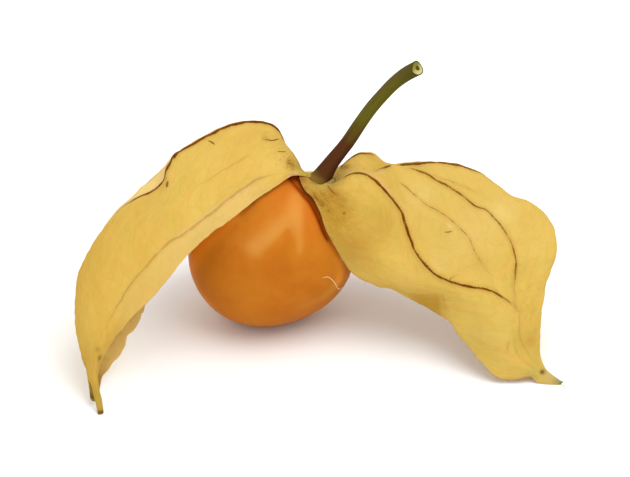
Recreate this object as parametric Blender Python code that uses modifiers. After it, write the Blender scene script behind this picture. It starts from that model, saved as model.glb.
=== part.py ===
"""A ripe physalis: an orange berry on its stalk, its papery husk torn open and folded back to both sides.

It lies on the ground on the underside of the berry, with the tips of both husk flaps touching the ground
in front. The origin is the centre of the berry's resting spot, on the ground. Metres, +Z up, front is -Y.
"""

import math

import bmesh
import bpy
from mathutils import Vector

MM = 0.001

# Driving dimensions
BERRY_RADIUS = 10.0 * MM
BERRY_CENTRE_HEIGHT = 9.7 * MM  # under the radius, so that the underside is pressed flat where it rests
BERRY_LOBES = 0.03  # how much the berry's outline swells and sinks, as a share of its radius
BERRY_LOBE_ANGLE = math.radians(228.0)  # where it swells most, from the right and counter-clockwise
CROWN_FLATTENING = 0.05  # how far the berry sinks under the calyx, as a share of its radius
CROWN_SPREAD = math.radians(25.0)
STEM_RADIUS = 0.82 * MM
HUSK_THICKNESS = 0.3 * MM
COLLAR_RADIUS = 2.0 * MM
COLLAR_HEIGHT = 0.9 * MM
FLAP_ROOT_RADIUS = 2.8 * MM  # of the ring around the calyx base on which the ribs start
GAP = 0.3 * MM  # between pieces that touch

# The husk and the stalk are drawn on a plane through the berry's centre that leans back from the vertical.
# A drawn point is (right, up, back) in millimetres: to the right and up along the plane, and behind it.
LEAN = math.radians(30.0)
COLLAR_PLACE = (6.5, 7.7, -3.9)
COLLAR_DIRECTION = (0.35, 0.86, -0.37)
ON_GROUND = None  # stands for the distance back at which a drawn point meets the ground

# Each rib of a flap runs from the calyx base to the flap's tip: its angle at the calyx base in degrees,
# from the right and counter-clockwise as seen from above, and the points that it then passes through.
# The ribs are listed from the flap's front edge over its ridge to its rear edge.
LEFT_RIBS = [
    (  # front edge
        228,
        [
            (1.6, 7.8, -7.6),
            (-1.9, 5.4, -9.3),
            (-5.3, 2.8, -10.4),
            (-9.6, -0.6, -11.3),
            (-13.7, -5.7, -12.5),
            (-17.2, -9.3, -13.2),
            (-20.1, -13.4, -14.0),
            (-21.3, -18.6, -14.0),
        ],
    ),
    (  # front vein
        221,
        [
            (0.4, 8.8, -7.6),
            (-3.5, 6.9, -9.8),
            (-7.1, 3.7, -11.0),
            (-12.5, 0.0, -12.3),
            (-16.5, -4.5, -13.6),
            (-18.9, -8.1, -14.3),
            (-20.7, -12.9, -14.8),
            (-21.3, -18.8, -14.3),
        ],
    ),
    (  # front crease
        212,
        [
            (1.6, 10.8, -5.8),
            (-1.7, 11.3, -7.2),
            (-6.1, 8.7, -9.2),
            (-11.4, 4.9, -11.0),
            (-16.9, 0.6, -12.5),
            (-20.5, -3.6, -13.2),
            (-22.2, -8.4, -13.6),
            (-22.3, -13.3, -14.0),
            (-21.3, -19.0, -14.3),
        ],
    ),
    (  # ridge
        200,
        [
            (3.2, 10.2, -2.9),
            (1.6, 12.9, -2.6),
            (-1.6, 14.9, -3.4),
            (-7.1, 13.4, -5.0),
            (-11.8, 10.2, -6.3),
            (-13.5, 6.6, -7.8),
            (-17.8, 4.5, -9.0),
            (-21.6, 0.0, -10.0),
            (-23.4, -5.7, -10.8),
            (-23.1, -11.8, -12.2),
            (-21.1, -19.4, -14.4),
        ],
    ),
    (  # rear vein
        176,
        [
            (3.4, 10.1, 0.2),
            (1.2, 11.6, 2.3),
            (-2.4, 12.9, 3.5),
            (-7.8, 11.7, 2.0),
            (-12.7, 9.5, -1.0),
            (-17.8, 4.2, -4.6),
            (-20.5, -0.6, -5.5),
            (-21.7, -6.6, -7.2),
            (-21.7, -12.7, -10.0),
            (-20.8, -19.7, -14.4),
        ],
    ),
    (  # rear edge
        152,
        [
            (3.6, 9.6, 2.6),
            (1.5, 8.8, 7.4),
            (-2.4, 7.2, 10.5),
            (-7.0, 5.4, 9.5),
            (-10.8, 3.0, 6.5),
            (-13.5, -2.0, 2.0),
            (-15.1, -6.6, -2.5),
            (-16.6, -10.7, -7.0),
            (-19.0, -14.2, -10.6),
            (-20.4, -20.0, ON_GROUND),
        ],
    ),
]
RIGHT_RIBS = [
    (  # front edge
        236,
        [
            (5.4, 5.4, -7.4),
            (6.6, 2.4, -8.1),
            (8.0, -0.2, -7.3),
            (9.7, -3.1, -4.9),
            (12.7, -4.7, -4.6),
            (16.0, -6.0, -5.5),
            (19.3, -7.7, -6.2),
            (21.8, -9.3, -8.0),
            (24.6, -13.4, -9.5),
            (27.0, -15.7, -9.8),
            (30.7, -15.8, -9.5),
            (32.9, -16.9, ON_GROUND),
        ],
    ),
    (  # front fold
        285,
        [
            (6.8, 6.0, -7.1),
            (8.6, 4.3, -7.9),
            (11.1, 1.6, -8.0),
            (13.9, -2.0, -7.8),
            (16.7, -4.8, -7.8),
            (20.8, -5.8, -8.8),
            (24.1, -7.2, -10.2),
            (26.8, -10.2, -11.0),
            (28.9, -13.6, -10.6),
            (33.0, -16.8, -9.3),
        ],
    ),
    (  # dark rib
        338,
        [
            (9.0, 8.2, -4.3),
            (11.2, 8.4, -4.2),
            (13.6, 6.6, -5.0),
            (15.9, 3.7, -6.5),
            (17.2, -0.4, -8.0),
            (19.6, -3.4, -9.0),
            (22.7, -4.6, -10.0),
            (26.4, -5.4, -10.3),
            (29.2, -7.3, -10.2),
            (29.8, -12.7, -10.2),
            (33.4, -16.6, -9.0),
        ],
    ),
    (  # fine vein
        352,
        [
            (10.6, 8.8, -3.0),
            (13.0, 8.6, -3.7),
            (16.0, 7.1, -5.2),
            (20.8, 3.6, -7.4),
            (24.0, 0.7, -9.0),
            (25.3, -2.0, -9.9),
            (27.3, -4.9, -10.4),
            (29.6, -7.8, -10.2),
            (30.1, -12.0, -10.1),
            (33.8, -16.4, -9.0),
        ],
    ),
    (  # upper rib
        6,
        [
            (10.6, 9.4, -1.6),
            (13.0, 9.0, -2.6),
            (17.2, 8.9, -4.2),
            (20.8, 7.5, -5.6),
            (24.0, 5.2, -7.0),
            (27.2, 2.9, -8.0),
            (29.2, -0.6, -9.0),
            (29.4, -4.2, -9.6),
            (30.7, -12.0, -9.7),
            (34.2, -16.4, -8.9),
        ],
    ),
    (  # upper vein
        20,
        [
            (10.6, 10.1, -0.6),
            (13.4, 9.4, -1.8),
            (18.1, 9.5, -3.2),
            (23.4, 7.3, -5.0),
            (26.6, 5.7, -6.0),
            (30.1, 3.3, -7.0),
            (31.7, -0.6, -8.0),
            (31.3, -4.8, -8.6),
            (31.6, -12.4, -9.2),
            (34.6, -16.5, -8.9),
        ],
    ),
    (  # ridge
        38,
        [
            (8.8, 9.1, -1.3),
            (9.8, 10.5, 0.2),
            (11.0, 11.1, 0.7),
            (12.3, 10.9, 0.3),
            (14.0, 9.7, -0.8),
            (18.1, 10.0, -2.0),
            (23.0, 9.5, -3.2),
            (27.6, 7.1, -4.2),
            (31.2, 5.3, -5.0),
            (33.7, 3.0, -5.8),
            (34.6, 0.0, -6.5),
            (33.6, -3.9, -7.2),
            (32.7, -7.8, -7.8),
            (32.7, -12.7, -8.3),
            (35.1, -16.6, -8.8),
        ],
    ),
    (  # rear vein
        66,
        [
            (9.6, 9.6, 4.0),
            (12.7, 8.4, 5.0),
            (18.1, 7.8, 3.5),
            (23.5, 6.6, 1.5),
            (28.9, 3.6, -0.5),
            (32.5, 0.0, -2.8),
            (32.3, -4.8, -4.6),
            (31.7, -9.6, -6.2),
            (32.3, -13.9, -7.8),
            (34.9, -16.7, -8.8),
        ],
    ),
    (  # rear edge
        96,
        [
            (7.8, 7.8, 6.5),
            (10.2, 4.8, 9.5),
            (15.1, 2.4, 8.5),
            (20.5, 0.6, 5.5),
            (25.9, -2.4, 2.0),
            (29.5, -6.0, -1.0),
            (30.7, -10.2, -4.0),
            (31.3, -13.9, -6.5),
            (34.4, -16.7, ON_GROUND),
        ],
    ),
]
FLAP_STATIONS = 30  # rows of faces from the calyx base to the tip
FACES_BETWEEN_RIBS = 3

# The stalk's line, and its thickness at each point as a multiple of STEM_RADIUS.
STEM_LINE = [
    ((6.8, 8.4, -4.2), 2.0),
    ((7.1, 9.2, -4.5), 1.6),
    ((7.7, 10.1, -4.7), 1.3),
    ((8.4, 11.1, -4.8), 1.12),
    ((9.5, 12.6, -4.9), 1.0),
    ((10.9, 14.7, -5.3), 0.97),
    ((12.3, 16.6, -5.9), 0.95),
    ((13.7, 18.2, -6.8), 0.95),
    ((15.0, 19.5, -7.8), 0.97),
    ((16.4, 20.6, -8.9), 1.02),
    ((17.8, 21.4, -9.9), 1.1),
]
STEM_RINGS = 28

CENTRE = Vector((0.0, 0.0, BERRY_CENTRE_HEIGHT))
RIGHTWARDS = Vector((1.0, 0.0, 0.0))
UPWARDS = Vector((0.0, math.sin(LEAN), math.cos(LEAN)))
BACKWARDS = Vector((0.0, math.cos(LEAN), -math.sin(LEAN)))


def drawn(right, up, back):
    """The vector with these drawn measures."""
    return RIGHTWARDS * right + UPWARDS * up + BACKWARDS * back


def placed(right, up, back):
    """The place of a drawn point."""
    if back is ON_GROUND:
        back = (CENTRE.z / MM + up * UPWARDS.z) / -BACKWARDS.z
    return CENTRE + drawn(right, up, back) * MM


def at_collar(degrees):
    """The place where a rib with this angle starts, on the ring around the calyx base."""
    axis = drawn(*COLLAR_DIRECTION).normalized()
    side = (RIGHTWARDS - axis * axis.dot(RIGHTWARDS)).normalized()
    turn = math.radians(degrees)
    return placed(*COLLAR_PLACE) + (side * math.cos(turn) + axis.cross(side) * math.sin(turn)) * FLAP_ROOT_RADIUS


def on_curve(points, place):
    """The point at place, counted in points from the first, on the smooth curve through the points."""
    last = len(points) - 1
    i = min(int(place), last - 1)
    t = place - i
    b, c = points[i], points[i + 1]
    a = points[i - 1] if i > 0 else 2 * b - c
    d = points[i + 2] if i + 2 <= last else 2 * c - b
    return 0.5 * (2 * b + (c - a) * t + (2 * a - 5 * b + 4 * c - d) * t**2 + (3 * b - a - 3 * c + d) * t**3)


def evenly_along(points, count):
    """That many points at equal distances along the smooth curve through the points."""
    steps = 12 * (len(points) - 1)
    fine = [on_curve(points, i / 12) for i in range(steps + 1)]
    reached = [0.0]
    for a, b in zip(fine, fine[1:]):
        reached.append(reached[-1] + (b - a).length)
    found = []
    step = 0
    for i in range(count):
        wanted = reached[-1] * i / (count - 1)
        while step < steps - 1 and reached[step + 1] < wanted:
            step += 1
        share = (wanted - reached[step]) / (reached[step + 1] - reached[step])
        found.append(fine[step].lerp(fine[step + 1], share))
    return found


def berry_reach(direction):
    """How far the berry's skin is from its centre in this direction."""
    right, up, back = direction.dot(RIGHTWARDS), direction.dot(UPWARDS), direction.dot(BACKWARDS)
    lobes = BERRY_LOBES * (1 - back**2) ** 1.5 * math.cos(3 * (math.atan2(up, right) - BERRY_LOBE_ANGLE))
    from_crown = direction.angle(drawn(*COLLAR_PLACE))
    sink = CROWN_FLATTENING * math.exp(-((from_crown / CROWN_SPREAD) ** 2))
    return BERRY_RADIUS * (1 + lobes - sink)


def material(name, colour, roughness):
    made = bpy.data.materials.new(name)
    made.use_nodes = True
    shader = made.node_tree.nodes["Principled BSDF"]
    shader.inputs["Base Color"].default_value = (*colour, 1.0)
    shader.inputs["Roughness"].default_value = roughness
    shader.inputs["Metallic"].default_value = 0.0
    return made


def add_mesh(name, bm, collection, finish):
    mesh = bpy.data.meshes.new(name)
    bm.to_mesh(mesh)
    bm.free()
    mesh.materials.append(finish)
    mesh.shade_smooth()
    made = bpy.data.objects.new(name, mesh)
    collection.objects.link(made)
    return made


def berry_mesh(segments, rings, clearance):
    """The berry's uneven ball, swollen by the clearance, around the berry's centre."""
    bm = bmesh.new()
    bmesh.ops.create_uvsphere(bm, u_segments=segments, v_segments=rings, radius=1.0)
    for vert in bm.verts:
        vert.co *= berry_reach(vert.co) + clearance
    return bm


def build_berry(collection):
    """The berry, cut flat underneath where it rests."""
    bm = berry_mesh(44, 30, 0.0)
    cut = bmesh.ops.bisect_plane(
        bm,
        geom=bm.verts[:] + bm.edges[:] + bm.faces[:],
        plane_co=-CENTRE,
        plane_no=(0.0, 0.0, -1.0),
        clear_outer=True,
    )
    rim = [e for e in cut["geom_cut"] if isinstance(e, bmesh.types.BMEdge)]
    bmesh.ops.holes_fill(bm, edges=rim)
    berry = add_mesh("berry", bm, collection, material("berry_skin", (0.60, 0.20, 0.03), 0.35))
    berry.location = CENTRE
    return berry


def build_collar(collection, cutters):
    """The calyx base: a low cone between the stalk and the berry, hollowed to fit the berry's skin."""
    cutter_finish = material("cutter", (0.5, 0.5, 0.5), 0.5)
    cutter = add_mesh("berry_cutter", berry_mesh(44, 30, GAP), cutters, cutter_finish)
    cutter.location = CENTRE
    cutter.hide_render = True
    cutter.display_type = "WIRE"
    bm = bmesh.new()
    bmesh.ops.create_cone(
        bm, cap_ends=True, segments=28, radius1=COLLAR_RADIUS, radius2=0.8 * COLLAR_RADIUS, depth=2 * COLLAR_HEIGHT
    )
    collar = add_mesh("husk_collar", bm, collection, material("calyx_base", (0.42, 0.38, 0.14), 0.7))
    axis = drawn(*COLLAR_DIRECTION)
    collar.location = placed(*COLLAR_PLACE) - axis.normalized() * (COLLAR_HEIGHT / 2)
    collar.rotation_euler = axis.to_track_quat("Z", "Y").to_euler()
    hollow = collar.modifiers.new("fit_to_berry", "BOOLEAN")
    hollow.operation = "DIFFERENCE"
    hollow.object = cutter
    return collar


def build_stem(collection):
    """The stalk: a tapered tube that flares where it meets the calyx base."""
    curve = bpy.data.curves.new("stem", "CURVE")
    curve.dimensions = "3D"
    curve.bevel_depth = STEM_RADIUS
    curve.bevel_resolution = 3
    curve.use_fill_caps = True
    curve.render_resolution_u = 0
    spline = curve.splines.new("POLY")
    spline.points.add(STEM_RINGS - 1)
    line = [placed(*point) for point, _ in STEM_LINE]
    thickness = [Vector((share, 0.0)) for _, share in STEM_LINE]
    for i, point in enumerate(spline.points):
        place = i * (len(line) - 1) / (STEM_RINGS - 1)
        point.co = (*on_curve(line, place), 1.0)
        point.radius = on_curve(thickness, place).x
    curve.materials.append(material("stalk", (0.16, 0.13, 0.03), 0.6))
    stem = bpy.data.objects.new("stem", curve)
    collection.objects.link(stem)
    return stem


def build_flap(name, ribs, collection, finish):
    """A husk flap: a grid laid over its ribs, given its thickness by Solidify."""
    lines = [
        evenly_along([at_collar(angle)] + [placed(*p) for p in points], FLAP_STATIONS + 1)
        for angle, points in ribs
    ]
    across = FACES_BETWEEN_RIBS * (len(lines) - 1)
    bm = bmesh.new()
    bmesh.ops.create_grid(bm, x_segments=FLAP_STATIONS, y_segments=across, size=0.5)
    for vert in bm.verts:
        station = round((vert.co.x + 0.5) * FLAP_STATIONS)
        place = (vert.co.y + 0.5) * (len(lines) - 1)
        vert.co = on_curve([line[station] for line in lines], place)
        vert.co.z = max(vert.co.z, HUSK_THICKNESS / 2)
    flap = add_mesh(name, bm, collection, finish)
    shell = flap.modifiers.new("husk_thickness", "SOLIDIFY")
    shell.thickness = HUSK_THICKNESS
    shell.offset = 0.0
    return flap


def new_collection(name):
    made = bpy.data.collections.new(name)
    bpy.context.scene.collection.children.link(made)
    return made


def main():
    for old in list(bpy.data.objects):
        bpy.data.objects.remove(old, do_unlink=True)
    collection = new_collection("physalis_berry")
    cutters = new_collection("cutters")
    build_berry(collection)
    build_collar(collection, cutters)
    build_stem(collection)
    husk = material("husk_paper", (0.78, 0.52, 0.16), 0.75)
    build_flap("left_husk_flap", LEFT_RIBS, collection, husk)
    build_flap("right_husk_flap", RIGHT_RIBS, collection, husk)


main()
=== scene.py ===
import math

import bpy
import numpy as np
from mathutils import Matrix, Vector, kdtree, noise


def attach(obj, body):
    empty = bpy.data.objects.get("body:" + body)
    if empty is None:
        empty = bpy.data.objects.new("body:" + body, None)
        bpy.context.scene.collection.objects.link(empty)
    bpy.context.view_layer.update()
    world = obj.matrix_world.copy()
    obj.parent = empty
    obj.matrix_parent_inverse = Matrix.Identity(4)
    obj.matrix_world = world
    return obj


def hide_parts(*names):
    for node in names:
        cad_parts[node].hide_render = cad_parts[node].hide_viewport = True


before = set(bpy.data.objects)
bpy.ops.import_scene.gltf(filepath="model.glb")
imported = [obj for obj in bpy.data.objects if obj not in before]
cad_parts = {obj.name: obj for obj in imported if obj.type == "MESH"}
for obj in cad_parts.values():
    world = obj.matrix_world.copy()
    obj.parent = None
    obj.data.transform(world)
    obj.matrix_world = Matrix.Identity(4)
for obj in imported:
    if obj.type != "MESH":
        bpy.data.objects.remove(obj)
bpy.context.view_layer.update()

MM = 0.001
noise.seed_set(1)  # noise_vector shifts its pattern by random amounts, which this fixes

# ---------------------------------------------------------------- the drawing plane, as in the CAD

LEAN = math.radians(30.0)
CENTRE = Vector((0.0, 0.0, 9.7 * MM))
RIGHTWARDS = Vector((1.0, 0.0, 0.0))
UPWARDS = Vector((0.0, math.sin(LEAN), math.cos(LEAN)))
BACKWARDS = Vector((0.0, math.cos(LEAN), -math.sin(LEAN)))
COLLAR_PLACE = (6.5, 7.7, -3.9)
COLLAR_DIRECTION = (0.35, 0.86, -0.37)
ROOT_RADIUS = 1.5 * MM
ROOT_HEIGHT = 0.36 * MM
ON_GROUND = None  # as a drawn point's back: the point lies on the floor

BERRY_RADIUS = 10.0  # mm
STALK_LENGTH = 18.0  # mm
SHEET_HALF = 0.07  # mm, half the husk's thickness
SHEET_FLOOR_GAP = 0.02 * MM
BERRY_FLOOR_GAP = 0.03 * MM
MIDRIB_DARKNESS = 0.7  # a vein darker than this is a midrib, from which side veins slant off
PRONG_SLIT = 2  # the rib before the slit in the left flap's tip
PRONG_START = 0.945  # where the slit begins, as a share of the flap's length

# Each rib: its angle at the calyx base, and the points (right, up, back) in mm that it runs through.
LEFT_RIBS = [
    (228, [  # front edge
        (4.0, 8.3, -5.4), (2.9, 8.35, -5.9), (2.2, 8.1, -6.5), (0.5, 6.95, -7.8), (-1.9, 5.3, -9.2),
        (-4.4, 3.3, -10.0), (-7.6, 0.9, -10.8), (-10.2, -1.55, -11.5), (-12.0, -3.85, -12.0),
        (-13.7, -5.9, -12.5), (-15.3, -7.5, -12.9), (-16.9, -9.1, -13.2), (-18.2, -10.6, -13.5),
        (-19.5, -12.5, -13.9), (-20.4, -14.4, -14.1), (-20.9, -16.4, -14.1), (-21.0, -18.8, -14.0),
    ]),
    (221, [  # front vein
        (4.3, 8.5, -5.2), (3.1, 8.75, -5.7), (1.4, 8.7, -7.0), (-1.7, 7.7, -8.9), (-4.4, 5.9, -10.1),
        (-7.1, 3.8, -11.0), (-9.6, 1.9, -11.7), (-12.5, 0.0, -12.3), (-16.4, -4.4, -13.6),
        (-18.7, -8.1, -14.3), (-20.8, -12.9, -14.7), (-21.25, -18.9, -14.3),
    ]),
    (212, [  # front crease
        (4.4, 8.65, -4.7), (3.4, 9.1, -5.0), (1.4, 10.4, -5.9), (-1.7, 11.3, -7.2), (-6.1, 8.7, -9.2),
        (-11.4, 4.9, -11.0), (-16.9, 0.6, -12.5), (-20.5, -3.6, -13.2), (-22.1, -8.4, -13.6),
        (-22.0, -13.3, -14.0), (-21.55, -19.0, -14.3),
    ]),
    (200, [  # ridge
        (4.6, 8.55, -3.9), (3.6, 8.95, -3.5), (3.3, 10.0, -3.1), (2.7, 11.1, -2.8), (1.65, 12.25, -2.6),
        (1.2, 13.3, -2.5), (0.4, 14.25, -2.8), (-0.8, 14.75, -3.2), (-2.8, 14.7, -3.8), (-5.1, 14.25, -4.4),
        (-8.6, 12.5, -5.5), (-10.75, 11.1, -6.1), (-11.75, 10.0, -6.5), (-12.3, 9.2, -6.9),
        (-12.6, 7.8, -7.3), (-13.4, 6.6, -7.8), (-14.5, 5.95, -8.1), (-15.9, 5.25, -8.5),
        (-17.3, 4.5, -8.9), (-19.0, 3.0, -9.3),
        (-21.45, -0.2, -10.0), (-22.8, -3.3, -10.5), (-23.2, -6.5, -11.0), (-23.1, -10.3, -11.8),
        (-22.5, -13.2, -12.7), (-21.65, -16.2, -13.7), (-21.5, -19.3, -14.4),
    ]),
    (176, [  # rear vein
        (4.6, 8.6, -2.4), (3.5, 9.0, -0.6), (2.9, 9.9, 0.8), (1.0, 11.3, 2.3), (-2.4, 12.6, 3.5),
        (-7.8, 11.2, 2.0), (-11.3, 9.7, -0.4), (-13.9, 7.8, -2.6), (-16.6, 4.95, -4.4), (-18.6, 1.4, -5.4),
        (-19.9, -2.4, -6.2), (-20.7, -7.2, -7.2), (-21.0, -12.9, -10.0), (-21.1, -19.4, -14.4),
    ]),
    (152, [  # rear edge
        (4.6, 8.2, -0.9), (3.6, 8.3, 2.4), (1.4, 8.2, 7.0), (-2.4, 6.9, 10.2), (-7.0, 5.1, 9.5),
        (-10.8, 2.7, 6.5), (-13.3, -2.1, 2.0), (-14.6, -6.4, -1.8), (-15.5, -8.7, -4.6), (-16.3, -10.2, -6.5),
        (-17.1, -10.9, -7.6), (-17.4, -12.1, -8.6), (-17.9, -13.1, -9.5), (-18.75, -13.95, -10.5),
        (-19.35, -14.9, -11.3), (-20.15, -15.9, -12.2), (-20.7, -19.4, ON_GROUND),
    ]),
]
RIGHT_RIBS = [
    (232, [  # front edge
        (3.7, 8.3, -5.15), (3.7, 7.6, -5.7), (4.25, 6.55, -6.6), (5.15, 5.65, -7.1), (5.75, 4.5, -7.65),
        (6.3, 3.2, -8.05), (6.7, 1.9, -8.2), (7.9, -0.3, -7.4), (9.6, -3.0, -5.1), (12.7, -4.8, -4.6),
        (15.0, -5.5, -5.1), (19.3, -7.8, -6.2), (21.8, -9.4, -8.0), (22.7, -11.0, -8.7),
        (25.9, -14.6, -9.7), (27.2, -15.8, -9.8), (29.0, -16.1, -9.7), (31.2, -15.8, -9.6),
        (32.1, -16.5, -9.5), (33.2, -16.75, ON_GROUND), (34.9, -16.85, ON_GROUND),
    ]),
    (285, [  # front fold
        (6.8, 6.0, -7.1), (8.6, 4.3, -7.9), (11.1, 1.6, -8.0), (13.9, -2.0, -7.8), (16.7, -4.6, -7.9),
        (20.8, -5.7, -9.1), (24.1, -7.2, -10.3), (26.8, -10.2, -11.0), (28.9, -13.6, -10.6),
        (32.6, -16.0, -9.5), (34.95, -16.8, -9.2),
    ]),
    (338, [  # dark rib
        (8.3, 7.6, -4.6), (9.4, 8.1, -4.3), (10.4, 8.4, -4.2), (11.5, 8.3, -4.2), (12.4, 7.7, -4.5),
        (13.7, 6.5, -5.0), (14.8, 5.2, -5.7), (15.8, 3.8, -6.4), (16.5, 1.9, -7.2), (17.3, -0.4, -8.0),
        (18.3, -2.0, -8.6), (19.7, -3.4, -9.0), (21.2, -4.2, -9.6), (22.7, -4.7, -10.0), (24.6, -5.1, -10.2),
        (26.5, -5.5, -10.3), (27.9, -6.3, -10.3), (29.2, -7.4, -10.2), (29.7, -9.4, -10.2),
        (29.7, -12.7, -10.2), (32.7, -15.7, -9.4), (35.0, -16.75, -9.15),
    ]),
    (352, [  # fine vein
        (9.0, 8.2, -3.8), (10.6, 8.9, -3.0), (12.4, 8.5, -3.5), (13.7, 8.5, -3.9), (14.6, 8.1, -4.3),
        (16.0, 7.2, -5.2), (17.4, 6.0, -5.9), (19.0, 4.7, -6.7), (20.6, 3.8, -7.4), (22.8, 2.0, -8.4),
        (24.0, 0.7, -9.0), (24.8, -1.2, -9.8), (27.3, -4.9, -10.4), (29.4, -7.8, -10.2), (30.1, -12.0, -10.1),
        (32.8, -15.4, -9.3), (35.05, -16.7, -9.1),
    ]),
    (6, [  # upper rib
        (8.6, 8.4, -3.0), (10.6, 9.4, -2.0), (12.0, 8.9, -2.7), (12.9, 9.0, -3.2), (13.7, 9.25, -3.4),
        (14.6, 9.4, -3.5), (15.9, 9.25, -3.8), (17.3, 9.0, -4.2), (18.8, 8.4, -4.7), (19.9, 7.7, -5.2),
        (22.2, 6.5, -6.2), (24.5, 4.7, -7.2), (26.0, 4.0, -7.8), (27.2, 2.9, -8.0), (28.4, 1.3, -8.5),
        (29.2, -0.6, -9.0), (29.5, -2.5, -9.4), (29.3, -5.0, -9.6), (29.6, -8.0, -9.7), (30.5, -12.0, -9.7),
        (32.9, -15.2, -9.2), (35.1, -16.65, -9.05),
    ]),
    (20, [  # upper vein
        (8.4, 8.6, -2.4), (10.6, 10.1, -0.8), (12.3, 9.6, -1.3), (13.4, 9.05, -1.7), (14.8, 9.2, -2.1),
        (16.4, 9.3, -2.8), (18.1, 9.2, -3.5), (20.1, 8.2, -4.6), (21.4, 7.8, -5.0), (23.1, 7.1, -5.5),
        (26.6, 5.7, -6.1), (30.1, 3.3, -7.0), (31.7, -0.6, -8.0), (31.3, -4.8, -8.6), (31.6, -12.4, -9.2),
        (33.1, -15.1, -9.0), (35.12, -16.62, -9.0),
    ]),
    (38, [  # ridge
        (8.2, 8.6, -1.9), (8.9, 9.6, -1.0), (9.8, 10.5, 0.0), (10.7, 11.07, 0.5), (11.5, 11.15, 0.6),
        (12.3, 11.08, 0.4), (13.05, 10.5, 0.0), (13.75, 9.92, -0.5), (14.6, 9.72, -0.9), (16.5, 9.85, -1.5),
        (18.2, 10.0, -2.0), (20.1, 9.97, -2.5), (22.0, 9.75, -3.0), (23.4, 9.33, -3.3), (25.2, 8.7, -3.7),
        (27.6, 6.95, -4.2), (29.0, 5.87, -4.5), (31.2, 5.15, -5.0), (32.7, 4.1, -5.4), (33.9, 2.55, -5.8),
        (34.5, 0.3, -6.4), (34.4, -1.2, -6.7), (33.75, -3.0, -7.0), (33.0, -5.0, -7.4), (32.55, -8.0, -7.8),
        (32.5, -12.3, -8.3), (32.7, -14.2, -8.5), (33.45, -15.4, -8.8), (35.1, -16.65, -9.0),
    ]),
    (66, [  # rear vein
        (9.6, 9.6, 4.0), (12.7, 8.4, 5.0), (18.1, 7.8, 3.5), (23.5, 6.6, 1.5), (28.9, 3.6, -0.5),
        (32.2, 0.0, -2.8), (32.0, -4.8, -4.6), (31.6, -9.6, -6.2), (32.0, -13.9, -7.8), (35.1, -16.65, -8.95),
    ]),
    (96, [  # rear edge
        (7.8, 7.8, 6.5), (10.2, 4.8, 9.5), (15.1, 2.4, 8.5), (20.5, 0.6, 5.5), (25.9, -2.4, 2.0),
        (29.5, -6.0, -1.0), (30.7, -10.2, -4.0), (31.3, -13.9, -6.5), (35.0, -16.7, ON_GROUND),
    ]),
]

# The stalk's middle line from its foot: points, and its thickness there as a share of STEM_RADIUS.
STEM_LINE = [
    ((5.65, 7.3, -4.3), 2.0), ((6.15, 8.1, -4.4), 1.55), ((6.75, 9.0, -4.5), 1.3),
    ((7.55, 10.15, -4.65), 1.11), ((8.4, 11.2, -4.8), 1.03), ((9.5, 12.6, -4.9), 1.0),
    ((10.9, 14.7, -5.3), 0.97), ((12.3, 16.6, -5.9), 0.95), ((13.7, 18.2, -6.8), 0.95),
    ((15.0, 19.5, -7.8), 0.98), ((16.4, 20.55, -8.9), 1.05), ((17.85, 21.3, -9.8), 1.1),
]
STEM_RADIUS = 0.82 * MM


def drawn(right, up, back):
    """The way that leads right, up and back by these amounts."""
    return RIGHTWARDS * right + UPWARDS * up + BACKWARDS * back


def placed(right, up, back):
    """The place of a drawn point."""
    if back is ON_GROUND:
        back = (CENTRE.z / MM + up * UPWARDS.z) / -BACKWARDS.z
    return CENTRE + drawn(right, up, back) * MM


COLLAR_AXIS = drawn(*COLLAR_DIRECTION).normalized()
COLLAR_SIDE = (RIGHTWARDS - COLLAR_AXIS * COLLAR_AXIS.dot(RIGHTWARDS)).normalized()
COLLAR_ACROSS = COLLAR_AXIS.cross(COLLAR_SIDE)


def round_collar(degrees, radius, height=0.0):
    """A point around the calyx base's axis."""
    turn = math.radians(degrees)
    side = COLLAR_SIDE * math.cos(turn) + COLLAR_ACROSS * math.sin(turn)
    return placed(*COLLAR_PLACE) + side * radius + COLLAR_AXIS * height


# ---------------------------------------------------------------- curves and sheets

def smooth(low, high, value):
    """0 below low, 1 above high, and an S curve between them."""
    t = np.clip((value - low) / (high - low), 0.0, 1.0)
    return t * t * (3 - 2 * t)


def weave(points, places):
    """Catmull-Rom through points (first axis) at float places counted in points."""
    last = len(points) - 1
    i = np.clip(places.astype(int), 0, last - 1)
    t = (places - i).reshape((-1,) + (1,) * (points.ndim - 1))
    b, c = points[i], points[i + 1]
    a = np.where((i > 0).reshape(t.shape), points[np.maximum(i - 1, 0)], 2 * b - c)
    d = np.where((i + 2 <= last).reshape(t.shape), points[np.minimum(i + 2, last)], 2 * c - b)
    return 0.5 * (2 * b + (c - a) * t + (2 * a - 5 * b + 4 * c - d) * t**2 + (3 * b - a - 3 * c + d) * t**3)


def curve(points, count):
    """count points along the smooth curve through points."""
    points = np.array([list(p) for p in points])
    return weave(points, np.linspace(0, len(points) - 1, count))


def evenly(points, count):
    """count points at equal distances along the smooth curve through points."""
    fine = curve(points, 40 * (len(points) - 1) + 1)
    reached = np.r_[0, np.cumsum(np.linalg.norm(np.diff(fine, axis=0), axis=1))]
    wanted = np.linspace(0, reached[-1], count)
    return np.stack([np.interp(wanted, reached, fine[:, k]) for k in range(3)], axis=1)


def lengths_along(grid, axis):
    """How far each grid point lies from the grid's start along an axis, in mm."""
    steps = np.linalg.norm(np.diff(grid, axis=axis), axis=2)
    pad = [(0, 0), (0, 0)]
    pad[axis] = (1, 0)
    return np.pad(np.cumsum(steps, axis=axis), pad) / MM


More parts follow.
